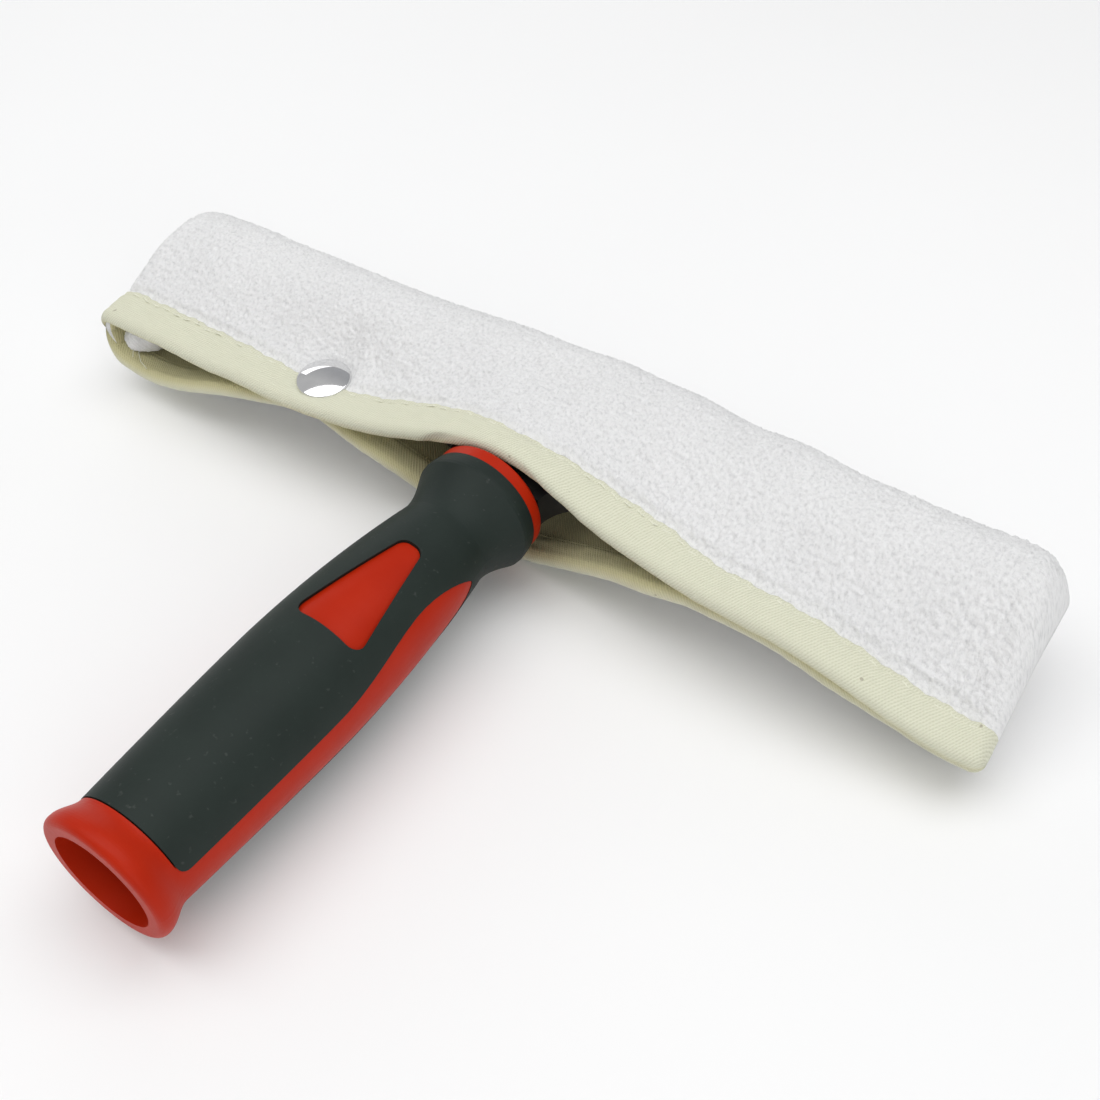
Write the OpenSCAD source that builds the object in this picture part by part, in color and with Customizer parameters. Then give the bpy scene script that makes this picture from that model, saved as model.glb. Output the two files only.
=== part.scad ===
// T-bar applicator: a two-material grip, a moulded T-bar and a pile sleeve with a press-stud flap.
// Origin: centre of the pole socket's mouth, on the grip's axis.
// +Y runs along the grip to the T-bar, +X along the bar, +Z away from the surface it lies on.

/* [Grip] */
// Length of the grip from the socket's mouth to the face of the front ring
grip_len = 131.6; // [128:0.1:136]
// Radius of the flared rim round the socket's mouth
rim_r = 16.8; // [16.4:0.1:18]
// Greatest radius of the grip, about half way along
belly_r = 16.7; // [16.2:0.1:17.4]
// Radius where the soft skin starts behind the rim
heel_r = 14.9; // [14.7:0.1:15.4]
// Radius of the narrow throat behind the bell
throat_r = 12.6; // [12.2:0.1:13.2]
// Radius of the bell at the front
bell_r = 16.5; // [16:0.1:17.2]
// Radius of the front ring
ring_r = 15.8; // [15:0.1:16]
// Thickness of the soft skin
skin = 1.2; // [1:0.1:1.2]
// Radius of the pole socket
socket_r = 12.6; // [12:0.1:12.6]
// Depth of the pole socket
socket_len = 62; // [50:1:64]
// Turn of the thumb panel about the grip's axis, to one side of the bar's plane
panel_turn = 14; // [0:1:30]

/* [T-bar] */
// Length of the cross bar
bar_len = 248; // [240:1:250]
// Radius of the bar's rounded edges, which is half its thickness
bar_r = 8; // [7:0.1:8.4]
// Height of the bar's middle plane over the grip's axis
bar_z = 4.3; // [3.6:0.1:5]
// Radius of the round spigot that turns in the grip
spigot_r = 8; // [7.5:0.1:8]
// Running clearance round the spigot
spigot_gap = 0.05; // [0.02:0.01:0.1]

/* [Sleeve] */
// Outer length of the sleeve
sleeve_len = 269; // [266:1:272]
// Sideways offset of the sleeve's middle from the grip's axis
sleeve_shift = -0.5; // [-2:0.5:1]
// Outer radius of the fold round the bar's front
fold_r = 13; // [12.9:0.1:13.6]
// Thickness of the pile fabric
pile_t = 2; // [1.6:0.1:2]
// Thickness of the twill lining
lining_t = 0.5; // [0.4:0.1:0.6]
// Thickness of the twill binding
binding_t = 0.5; // [0.4:0.1:0.6]
// Spread between the lips where the neck passes
neck_spread = 27; // [26:0.5:29]
// Spread between the lips at the open left pocket
pocket_spread = 11; // [6:0.5:12]
// Radius of the press stud's cap
cap_r = 7.5; // [6.5:0.1:7.5]

/* [Hidden] */
$fn = 72;
eps = 0.01;

// Grip stations along Y
rim_y = 2.2;
heel_y = 9;
belly_y = 60;
throat_y = 111.5;
bell_y = 123.5;
skin_end = grip_len - 3.9;
skin_gap = 0.05;
// Side strips: height over and under the axis, greatest height, and their tip
strip_up = 3.2;
strip_rise = 3.2;
strip_low = 9.5;
strip_y = 55;
strip_wide = 85;
strip_tip = 105.5;
strip_corner = 2.5;
// Thumb panel: rear and front edge, half width at each
panel_rear = 66.6;
panel_front = 97.8;
panel_w_rear = 8.7;
panel_w_front = 3.3;
panel_corner = 2.6;
panel_sink = 0.9;
// Inside of the grip
shaft_y = 86;
web_t = 4;
screw_r = 2.4;
screw_bite = 16;
head_r = 4.4;
head_t = 3.2;
washer_r = 6.5;
washer_t = 1;
washer_y = shaft_y - washer_t - 0.05;
// T-bar
bar_rear = 159.5;
bar_front = 163.2;
neck_half = 14.5;
neck_flare = 12;
neck_t = 9;
neck_z = 1.5;
neck_r = 8;
neck_len = 20;
spigot_y = shaft_y + web_t + 0.3;
neck_y = grip_len + 0.3;
bore_r = 9;
slot_w = 9;
slot_l = 16;
slot_pitch = 20;
slot_x = 36;
// Sleeve
half_len = sleeve_len / 2;
x_left = sleeve_shift - half_len;
x_right = sleeve_shift + half_len;
end_t = 2.4;
fold_z = 5;
fold_y = 164;
fold_bow = 4.6;
lip_y = 128;
lip_out = 6.6;
lip_z = 4.2;
lip_rise = 9.8;
droop = 10;
closed_gap = 4.4;
layer = 0.1;
layer_n = 17;
fabric_t = pile_t + layer + lining_t;
binding_in = 6;
flap_from = x_left + end_t + 0.4;
flap_to = 58;
flap_gap = 0.4;
// Press stud
snap_x = -60;
snap_u = 0.8;
snap_tilt = 4.6;
stud_r = 1.5;
rivet_r = 0.9;
stitch_pitch = 4;
stitch_l = 2.6;
stitch_w = 0.45;

/* Grip profile */

// Radius of the grip's outside at y
function grip_r(y) =
    y < belly_y ? belly_r - (belly_r - heel_r) * pow((belly_y - y) / (belly_y - heel_y), 1.4)
    : y < throat_y ? belly_r - (belly_r - throat_r) * pow((y - belly_y) / (throat_y - belly_y), 2)
    : y < bell_y ? throat_r + (bell_r - throat_r) * (1 - cos(90 * (y - throat_y) / (bell_y - throat_y)))
    : bell_r - 0.5 * pow((y - bell_y) / (skin_end - bell_y), 2);

// Points of the grip's outside from y0 to y1, lowered by d
function grip_line(y0, y1, d, n) = [for (i = [0:n]) let (y = y0 + (y1 - y0) * i / n) [grip_r(y) - d, y]];

module turned(points) {
    rotate([-90, 0, 0]) rotate_extrude() polygon(points);
}

module along_y(r, y0, y1) {
    translate([0, y0, 0]) rotate([-90, 0, 0]) cylinder(r = r, h = y1 - y0);
}

// The red body: rim, core under the skin, front ring
function core_points() = concat(
    [[0, 0]],
    [for (a = [0:15:90]) [rim_r - 1.8 + 1.8 * sin(a), 1.8 - 1.8 * cos(a)]],
    [for (i = [0:10]) let (k = 0.5 + 0.5 * cos(18 * i)) [heel_r - 0.15 + (rim_r - heel_r + 0.15) * k,
        rim_y + (heel_y - 0.3 - rim_y) * i / 10]],
    [[grip_r(heel_y) - skin - skin_gap, heel_y - 0.3]],
    grip_line(heel_y, skin_end, skin + skin_gap, 30),
    [[bell_r - 0.5 - skin, skin_end + skin_gap], [ring_r, skin_end + skin_gap]],
    [for (a = [0:15:90]) [ring_r - 1 + cos(a), grip_len - 1 + sin(a)]],
    [[0, grip_len]]
);

// Side view of a side strip: a band with a wide blade at the front, drawn by its upper and lower edge
function strip_top(y) =
    y < strip_wide ? strip_up + 0.8 * max(0, y - heel_y) / (strip_wide - heel_y)
        + strip_rise * smooth((y - strip_y) / (strip_wide - strip_y))
    : (strip_up + 0.8 + strip_rise) * pow(1 - pow((y - strip_wide) / (strip_tip - strip_wide), 2), 0.8);
function strip_bottom(y) = y < 75 ? strip_low
    : strip_low * pow(1 - pow((y - 75) / (strip_tip - 75), 3), 0.7);
strip_ys = concat(spaced(heel_y + strip_corner, strip_wide, 16), [for (a = [10:10:80]) strip_wide
    + (strip_tip - strip_wide) * sin(a)]);
// Both corners at the heel are rounded out, as the skin's corners there are rounded
strip_heel = [for (a = [0:18:72]) [heel_y + strip_corner * (1 - cos(a)), strip_corner * (1 - sin(a))]];
module strip_side(grow) {
    rotate([90, 0, 90]) translate([0, 0, -30]) linear_extrude(60) polygon(concat(
        [[heel_y - 1, strip_up + strip_corner + grow]],
        [for (p = strip_heel) [p[0], strip_up + p[1] + grow]],
        [for (y = strip_ys) [y, strip_top(y) + grow]],
        [[strip_tip + grow, 0]],
        [for (i = [len(strip_ys) - 1:-1:0]) [strip_ys[i], -strip_bottom(strip_ys[i]) - grow]],
        [for (i = [len(strip_heel) - 1:-1:0]) [strip_heel[i][0], -strip_low - strip_heel[i][1] - grow]],
        [[heel_y - 1, -strip_low - strip_corner - grow]]
    ));
}

// Plan of the thumb panel, a trapezium with rounded corners
module panel_plan(grow) {
    lean = atan((panel_w_rear - panel_w_front) / (panel_front - panel_rear));
    c = panel_corner;
    r = panel_corner + grow;
    rear_a = spaced(-90, lean, 6);
    front_a = spaced(lean, 90, 6);
    rotate([0, panel_turn, 0]) linear_extrude(30) polygon(concat(
        [for (a = rear_a) [panel_w_rear - c + r * cos(a), panel_rear + c + r * sin(a)]],
        [for (a = front_a) [panel_w_front - c + r * cos(a), panel_front - c + r * sin(a)]],
        [for (i = [6:-1:0]) let (a = front_a[i]) [c - panel_w_front - r * cos(a), panel_front - c + r * sin(a)]],
        [for (i = [6:-1:0]) let (a = rear_a[i]) [c - panel_w_rear - r * cos(a), panel_rear + c + r * sin(a)]]
    ));
}

module handle_core() {
    color("firebrick") difference() {
        union() {
            turned(core_points());
            intersection() {
                turned(concat([[0, heel_y - 0.6]], grip_line(heel_y - 0.6, strip_tip, 0.15, 30), [[0, strip_tip]]));
                strip_side(0);
            }
            intersection() {
                turned(concat([[0, 62]], grip_line(62, 102, panel_sink, 10), [[0, 102]]));
                panel_plan(0);
            }
        }
        along_y(socket_r, -1, socket_len);
        along_y(bore_r, socket_len - 1, shaft_y);
        along_y(screw_r + 0.4, shaft_y - 1, grip_len);
        along_y(spigot_r + spigot_gap, shaft_y + web_t, grip_len + 1);
    }
}

module grip_overmould() {
    color("darkslategray") difference() {
        turned(concat(
            grip_line(heel_y, throat_y - 6, 0, 30),
            grip_line(throat_y - 5, skin_end, 0, 24),
            [for (i = [30:-1:0]) let (y = heel_y + (skin_end - heel_y) * i / 30) [grip_r(y) - skin, y]]
        ));
        strip_side(0.15);
        panel_plan(0.15);
    }
}

module retaining_screw() {
    color("silver") {
        along_y(screw_r, washer_y, spigot_y + screw_bite);
        difference() {
            along_y(head_r, washer_y - head_t, washer_y);
            translate([0, washer_y - head_t - eps, 0]) rotate([-90, 0, 0]) cylinder(r = 2, h = 2, $fn = 6);
        }
    }
}

module screw_washer() {
    color("silver") difference() {
        along_y(washer_r, washer_y, washer_y + washer_t);
        along_y(screw_r + 0.1, washer_y - 1, shaft_y + 1);
    }
}

module bar_section() {
    translate([bar_rear, bar_z]) circle(bar_r);
    translate([bar_front, bar_z]) circle(bar_r);
    translate([bar_rear, bar_z - bar_r]) square([bar_front - bar_rear, 2 * bar_r]);
}

module t_bar() {
    color("dimgray") difference() {
        union() {
            along_y(spigot_r, spigot_y, neck_y + 1);
            translate([0, neck_y, 0]) rotate([-90, 0, 0]) linear_extrude(neck_len) {
                for (s = [-1, 1]) translate([s * (neck_half - neck_r), 0]) circle(neck_r);
                square([2 * (neck_half - neck_r), 2 * neck_r], center = true);
            }
            translate([0, 0, neck_z - neck_t / 2]) linear_extrude(neck_t) difference() {
                translate([-neck_half - neck_flare, neck_y]) square([2 * (neck_half + neck_flare), bar_rear - neck_y]);
                for (s = [-1, 1]) translate([s * (neck_half + neck_flare), neck_y]) circle(neck_flare);
            }
            translate([-bar_len / 2, 0, 0]) rotate([90, 0, 90]) linear_extrude(bar_len) bar_section();
        }
        for (s = [-1, 1]) for (i = [0:4])
            translate([s * (slot_x + i * slot_pitch) - slot_l / 2, bar_rear - 1, bar_z - 20])
                cube([slot_l, slot_w, 40]);
        along_y(screw_r - 0.05, spigot_y - 1, spigot_y + screw_bite + 2);
    }
}

/* Sleeve surface */

function bell_curve(x, centre, width) = exp(-pow((x - centre) / width, 2));
function smooth(t) = t <= 0 ? 0 : t >= 1 ? 1 : t * t * (3 - 2 * t);

// Height of the upper lip's edge, and the spread down to the lower one
function upper_z(x) = lip_z + lip_rise * bell_curve(x, 1, 30) - droop * smooth((x - 78) / 50);
function spread(x) = closed_gap + neck_spread * bell_curve(x, 3, 30) + pocket_spread * bell_curve(x, -120, 26);
// How far the lower lip is tucked under the upper one
function tuck(x) = 5.5 * bell_curve(x, snap_x - 2, 18) + 2.2 * smooth((x - 45) / 15)
    + 1.4 * smooth((x - 95) / 30);
function edge_y(x) = lip_y + lip_out * bell_curve(x, 2, 42);
function nose_y(x) = fold_y + fold_bow * bell_curve(x, 10, 48)
    - 6 * pow(max(0, abs(x - sleeve_shift) - half_len + 12) / 12, 2);

function upper_edge(x) = [edge_y(x), upper_z(x)];
function lower_edge(x) = [edge_y(x) + tuck(x), upper_z(x) - spread(x)];

function bezier(a, b, c, d, u) =
    pow(1 - u, 3) * a + 3 * pow(1 - u, 2) * u * b + 3 * (1 - u) * u * u * c + pow(u, 3) * d;

// The press stud draws both faces together around it
function pinch(x) = bell_curve(x, snap_x, 22);
function arm(x) = 14 + 6 * pinch(x);
// Width of a binding's outer face, and the share of a face it leaves free
function tape_w(x) = 9.3 - 2.3 * smooth((x - 45) / 20) - 3.8 * bell_curve(x, 4, 17);
function tape_u(x, w) = 1 - w / (2.83 * arm(x));
// Outside of the upper face, from the fold's top (u 0) to the lip (u 1)
function upper_pt(x, u) = let (t = [nose_y(x), fold_z + fold_r], e = upper_edge(x) + [0, fabric_t / 2])
    bezier(t, t - [14, 0], e + [arm(x), 1.4 - 3.2 * pinch(x)], e, u);
// Outside of the lower face, from the lip (u 0) to the fold's bottom (u 1)
function lower_pt(x, u) = let (b = [nose_y(x), fold_z - fold_r], e = lower_edge(x) - [0, fabric_t / 2])
    bezier(e, e + [arm(x), 3 * pinch(x) - 0.6], b - [12, 0], b, u);
// Outside of the fold, from its bottom (u 0) to its top (u 1)
function fold_pt(x, u) = [nose_y(x) + fold_r * cos(180 * u - 90), fold_z + fold_r * sin(180 * u - 90)];

// One line round the sleeve from the lower lip (t 0) over the fold (t 1 to 2) to the upper lip (t 3)
function skin_pt(x, t) = t <= 1 ? lower_pt(x, t) : t <= 2 ? fold_pt(x, t - 1) : upper_pt(x, t - 2);
// The same line moved out by d
function skin_off(x, t, d) =
    let (a = skin_pt(x, max(0, t - 0.01)), b = skin_pt(x, min(3, t + 0.01)), v = (b - a) / norm(b - a))
    skin_pt(x, t) + d * [v[1], -v[0]];

function spaced(a, b, n) = [for (i = [0:n]) a + (b - a) * i / n];
function in_3d(x, p) = [x, p[0], p[1]];

// A closed solid between two sets of rows, outer[i][j] and inner[i][j]; rows may differ in length
function row_start(rows, i) = i == 0 ? 0 : row_start(rows, i - 1) + len(rows[i - 1]);
module between(outer, inner) {
    m = len(outer);
    start = [for (i = [0:m]) row_start(outer, i)];
    common = [for (i = [0:m - 2]) min(len(outer[i]), len(outer[i + 1])) - 1];
    k = start[m];
    last = len(outer[m - 1]) - 1;
    polyhedron(
        points = concat([for (r = outer) for (p = r) p], [for (r = inner) for (p = r) p]),
        faces = concat(
            [for (i = [0:m - 2]) let (a = start[i], b = start[i + 1]) for (j = [0:common[i] - 1])
                each [[a + j, a + j + 1, b + j + 1], [a + j, b + j + 1, b + j]]],
            [for (i = [0:m - 2]) let (a = k + start[i], b = k + start[i + 1]) for (j = [0:common[i] - 1])
                each [[a + j, b + j + 1, a + j + 1], [a + j, b + j, b + j + 1]]],
            [for (i = [0:m - 2]) let (a = start[i], b = start[i + 1])
                each [[a, b, k + b], [a, k + b, k + a]]],
            [for (i = [0:m - 2]) let (a = start[i] + common[i], b = start[i + 1] + common[i])
                each [[a, k + b, b], [a, k + a, k + b]]],
            [for (j = [0:len(outer[0]) - 2])
                each [[j, k + j + 1, j + 1], [j, k + j, k + j + 1]]],
            [for (i = [1:m - 1]) let (b = start[i]) for (j = [common[i - 1]:1:len(outer[i]) - 2])
                each [[b + j, k + b + j + 1, b + j + 1], [b + j, k + b + j, k + b + j + 1]]],
            [for (j = [0:last - 1]) let (b = start[m - 1])
                each [[b + j, b + j + 1, k + b + j + 1], [b + j, k + b + j + 1, k + b + j]]]
        )
    );
}

// A layer of the sleeve over the stations xs and ts, from d0 in to d1
module fabric(xs, ts, d0, d1) {
    between(
        [for (i = [0:len(xs) - 1]) [for (t = ts[i]) in_3d(xs[i], skin_off(xs[i], t, d0))]],
        [for (i = [0:len(xs) - 1]) [for (t = ts[i]) in_3d(xs[i], skin_off(xs[i], t, d1))]]
    );
}

// Stations of the fixed layers: below the flap they stop at the fold's front, past it they reach the lip
sewn_xs = spaced(flap_to + flap_gap, x_right - end_t, 10);
fixed_xs = concat(spaced(x_left + end_t, flap_to, 22), sewn_xs);
flap_xs = spaced(flap_from, flap_to, 21);
split_t = 1.5;
split_gap = 0.01;

// n stations from the lower lip to the split, then the same again from the split to the upper lip
module fixed_layer(d0, d1, n) {
    low = spaced(0, split_t - split_gap, n);
    high = spaced(split_t, 3, n);
    fabric(fixed_xs, [for (x = fixed_xs) x > flap_to + eps ? concat(low, high) : low], d0, d1);
}

module flap_layer(d0, d1, n) {
    fabric(flap_xs, [for (x = flap_xs) spaced(split_t, 3, n)], d0, d1);
}

// A binding folded over a lip. s is 1 for the upper lip and -1 for the lower; e is the height over the fabric
function binding_line(x, s, e) =
    let (
        t = s > 0 ? 3 : 0,
        tip = skin_off(x, t, -fabric_t / 2),
        a = skin_pt(x, s > 0 ? 2.99 : 0.01),
        b = skin_pt(x, t),
        v = (b - a) / norm(b - a),
        w = s * [v[1], -v[0]],
        outer_u = tape_u(x, tape_w(x)),
        inner_u = tape_u(x, binding_in),
        outer_ts = spaced(s > 0 ? 2 + outer_u : 1 - outer_u, t, 5),
        inner_ts = spaced(t, s > 0 ? 2 + inner_u : 1 - inner_u, 5)
    )
    concat(
        [for (u = outer_ts) skin_off(x, u, e)],
        [for (q = [30:30:150]) tip + (fabric_t / 2 + e) * (cos(q) * w + sin(q) * v)],
        [for (u = inner_ts) skin_off(x, u, -fabric_t - e)]
    );

module binding(xs, s) {
    outer = [for (x = xs) [for (p = binding_line(x, s, layer + binding_t)) in_3d(x, p)]];
    inner = [for (x = xs) [for (p = binding_line(x, s, layer)) in_3d(x, p)]];
    if (s > 0) between(outer, inner);
    else between(inner, outer);
}

// A row of stitches near the edge of a lip's binding; s is 1 for the upper lip and -1 for the lower
module stitch_row(x0, x1, s) {
    for (x = [x0:stitch_pitch:x1]) {
        u = tape_u(x, tape_w(x)) + 0.04;
        t = s > 0 ? 2 + u : 1 - u;
        p = skin_off(x, t, layer + binding_t + 0.02);
        q = skin_off(x, t, layer + binding_t + 1);
        slope = atan2(q[1] - p[1], q[0] - p[0]);
        translate([x - stitch_l / 2, p[0], p[1]]) rotate([slope, 0, 0])
            translate([0, 0, -stitch_w / 2]) cube([stitch_l, stitch_w, stitch_w]);
    }
}

// The flat end of the sleeve, where its sides are sewn together
module end_panel(x, x0) {
    translate([x0, 0, 0]) rotate([90, 0, 90]) linear_extrude(end_t - layer)
        polygon([for (t = spaced(0, 3, 30)) skin_off(x, t, 0)]);
}

module pile_shell() {
    color("whitesmoke") fixed_layer(0, -pile_t, layer_n);
}

module sleeve_lining() {
    color("wheat") fixed_layer(-pile_t - layer, -fabric_t, layer_n);
}

module upper_binding() {
    color("cornsilk") binding(sewn_xs, 1);
}

module lower_binding() {
    color("cornsilk") binding(fixed_xs, -1);
}

module left_end_seam() {
    color("whitesmoke") end_panel(x_left + end_t, x_left);
}

module right_end_seam() {
    color("whitesmoke") end_panel(x_right - end_t, x_right - end_t + layer);
}

module upper_topstitch() {
    color("ivory") stitch_row(flap_to + 4, x_right - 6, 1);
}

module lower_topstitch() {
    color("ivory") {
        stitch_row(x_left + 6, snap_x - 9, -1);
        stitch_row(snap_x + 9, x_right - 6, -1);
    }
}

// Tacks between the two bindings along the sewn right half
module closing_seam() {
    color("ivory") for (x = [flap_to + 6:6:x_right - 8]) {
        low = skin_off(x, 0.12, -fabric_t - layer - binding_t);
        high = skin_off(x, 2.88, -fabric_t - layer - binding_t);
        translate([x, (low[0] + high[0]) / 2, low[1]])
            cylinder(r = 0.4, h = max(0.2, high[1] - low[1]), $fn = 24);
    }
}

/* Press stud, on one axis through both lips; heights are measured up that axis from the lower face */

// Share of the lower face at which it lies y back
function lower_u(x, y, a = 0, b = 1, n = 20) = let (m = (a + b) / 2)
    n == 0 ? m : lower_pt(x, m)[0] > y ? lower_u(x, y, a, m, n - 1) : lower_u(x, y, m, b, n - 1);

snap_top = upper_pt(snap_x, snap_u);
snap_low = lower_pt(snap_x, lower_u(snap_x, snap_top[0]));
snap_h = (snap_top[1] - snap_low[1]) * cos(snap_tilt);
disc_r = 4;
stud_z = fabric_t - 0.2;
stud_top = stud_z + 1.7;
socket_z = fabric_t + layer + binding_t + 0.3;
socket_top = snap_h - pile_t - 0.1;
roof_z = stud_top + 0.3;
cap_z = snap_h + 0.3;

module at_snap(z) {
    translate([snap_x, snap_top[0], snap_low[1]]) rotate([snap_tilt, 0, 0]) translate([0, 0, z]) children();
}

module snap_cap() {
    color("gainsboro") at_snap(cap_z) {
        rotate_extrude() polygon(concat(
            [[0, 0], [cap_r - 0.8, 0]],
            [for (a = [-90:30:0]) [cap_r - 0.6 + 0.6 * cos(a), 0.6 + 0.6 * sin(a)]],
            [for (a = [0:10:90]) [cap_r * cos(a) * (1 - 0.02 * sin(a)), 0.8 + 1.7 * sin(a)]]
        ));
        translate([0, 0, socket_top - 0.5 - cap_z]) cylinder(r = rivet_r, h = cap_z - socket_top + 0.5 + eps);
    }
}

module snap_socket() {
    color("silver") at_snap(0) difference() {
        translate([0, 0, socket_z]) cylinder(r = disc_r, h = socket_top - socket_z);
        translate([0, 0, socket_z - 1]) cylinder(r = stud_r + 0.3, h = roof_z - socket_z + 1);
        translate([0, 0, socket_top - 0.5]) cylinder(r = rivet_r, h = 2);
    }
}

module snap_stud() {
    color("silver") at_snap(0) {
        translate([0, 0, stud_z]) cylinder(r = disc_r, h = 0.5);
        translate([0, 0, stud_z]) cylinder(r = stud_r - 0.3, h = stud_top - stud_z);
        translate([0, 0, stud_top - 0.5]) rotate_extrude() translate([stud_r - 0.5, 0]) circle(0.5);
    }
}

module snap_eyelet() {
    color("silver") at_snap(0) {
        translate([0, 0, -layer - binding_t - 0.9]) cylinder(r = disc_r, h = 0.8);
        translate([0, 0, -layer - binding_t - 0.5]) cylinder(r = rivet_r, h = stud_z + layer + binding_t + 0.5);
    }
}

module flap_shell() {
    color("whitesmoke") flap_layer(0, -pile_t, layer_n);
}

module flap_lining() {
    color("wheat") flap_layer(-pile_t - layer, -fabric_t, layer_n);
}

module flap_binding() {
    color("cornsilk") binding(flap_xs, 1);
}

module flap_topstitch() {
    color("ivory") {
        stitch_row(flap_from + 3, snap_x - cap_r - 3, 1);
        stitch_row(snap_x + cap_r + 3, flap_to - 6, 1);
    }
}

handle_core();
grip_overmould();
retaining_screw();
screw_washer();
t_bar();
pile_shell();
sleeve_lining();
upper_binding();
lower_binding();
left_end_seam();
right_end_seam();
upper_topstitch();
lower_topstitch();
closing_seam();
snap_stud();
snap_eyelet();
flap_shell();
flap_lining();
flap_binding();
flap_topstitch();
snap_cap();
snap_socket();
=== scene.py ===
import math

import bpy
import numpy as np
from mathutils import Matrix, Vector


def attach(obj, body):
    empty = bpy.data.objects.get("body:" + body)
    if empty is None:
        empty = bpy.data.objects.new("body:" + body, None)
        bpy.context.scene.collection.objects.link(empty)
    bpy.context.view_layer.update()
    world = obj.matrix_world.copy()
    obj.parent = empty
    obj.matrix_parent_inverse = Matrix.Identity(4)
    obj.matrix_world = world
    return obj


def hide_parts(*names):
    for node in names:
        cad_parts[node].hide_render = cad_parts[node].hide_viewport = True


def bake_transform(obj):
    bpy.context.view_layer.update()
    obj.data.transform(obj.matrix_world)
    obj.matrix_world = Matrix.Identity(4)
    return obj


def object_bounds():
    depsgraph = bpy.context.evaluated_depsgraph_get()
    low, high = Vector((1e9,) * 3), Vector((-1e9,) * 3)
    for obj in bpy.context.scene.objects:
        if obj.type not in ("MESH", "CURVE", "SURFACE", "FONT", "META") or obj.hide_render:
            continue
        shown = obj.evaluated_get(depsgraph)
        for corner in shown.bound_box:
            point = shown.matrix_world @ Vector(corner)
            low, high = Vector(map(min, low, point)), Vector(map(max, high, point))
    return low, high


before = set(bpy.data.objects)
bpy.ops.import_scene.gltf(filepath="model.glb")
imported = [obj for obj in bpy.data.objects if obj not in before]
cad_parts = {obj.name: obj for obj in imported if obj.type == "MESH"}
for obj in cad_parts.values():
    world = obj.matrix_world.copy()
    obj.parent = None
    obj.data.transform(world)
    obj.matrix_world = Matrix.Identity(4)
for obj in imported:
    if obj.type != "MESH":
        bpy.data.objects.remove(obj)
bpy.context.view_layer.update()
scene = bpy.context.scene
MM = 0.001
rng = np.random.default_rng(7)

# ------------------------------------------------------------------ sizes, in millimetres
SLEEVE_LEN, SHIFT = 269.0, -0.5
HALF = SLEEVE_LEN / 2
X_LEFT, X_RIGHT = SHIFT - HALF, SHIFT + HALF
FOLD_R, FOLD_Z, FOLD_Y, FOLD_BOW = 13.0, 5.0, 164.0, 4.6
LIP_Y, LIP_OUT, LIP_Z, LIP_RISE, DROOP = 128.0, 6.6, 4.2, 9.8, 10.0
CLOSED_GAP, NECK_SPREAD, POCKET_SPREAD = 4.4, 27.0, 11.0
PILE_T, LINING_T = 2.0, 0.5
FAB = PILE_T + 0.1 + LINING_T
SNAP_X, SNAP_U, SNAP_TILT = -60.0, 0.8, 4.6
TAPE_IN, TAPE_BITE = 6.0, 0.23
CAP_R, DISC_R, DISC_IN = 7.5, 4.0, 0.7
STITCH_PITCH, STITCH_HALF, THREAD_R, LOOSE_R = 4.0, 1.45, 0.24, 0.13
SLIDE_LOW, SLIDE_HIGH, RING_R = -5, 2, 15.8
CLOSED_END, STUD_PULL = 12, 22


# ------------------------------------------------------------------ the sleeve's surface
def bell(x, centre, width):
    return np.exp(-(((x - centre) / width) ** 2))


def smooth(t):
    t = np.clip(t, 0, 1)
    return t * t * (3 - 2 * t)


def upper_z(x):
    return LIP_Z + LIP_RISE * bell(x, 1, 30) - DROOP * smooth((x - 78) / 50)


def spread(x):
    return CLOSED_GAP + NECK_SPREAD * bell(x, 3, 30) + POCKET_SPREAD * bell(x, -120, 26)


def tuck(x):
    """How far the lower lip is tucked under the upper one."""
    return 5.5 * bell(x, SNAP_X - 2, 18) + 2.2 * smooth((x - 45) / 15) + 1.4 * smooth((x - 95) / 30)


def edge_y(x):
    return LIP_Y + LIP_OUT * bell(x, 2, 42)


def nose_y(x):
    corner = np.maximum(0, np.abs(x - SHIFT) - HALF + CLOSED_END) / CLOSED_END
    return FOLD_Y + FOLD_BOW * bell(x, 10, 48) - np.where(x < 0, 5, 6) * corner**2


def arm(x):
    """How far the pull of each lip reaches back into the face."""
    return 14 + 6 * bell(x, SNAP_X, STUD_PULL)


def tape_u(x, width):
    """The share of a face that a tape of this width leaves free."""
    return 1 - width / (2.83 * arm(x))


def tape_w(x):
    """Width of the tape on the outer face."""
    return 9.3 - 2.3 * smooth((x - 45) / 20) - 3.8 * bell(x, 4, 17)


def bezier(p, u):
    a, b, c, d = p
    return (1 - u) ** 3 * a + 3 * (1 - u) ** 2 * u * b + 3 * (1 - u) * u * u * c + u**3 * d


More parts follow.
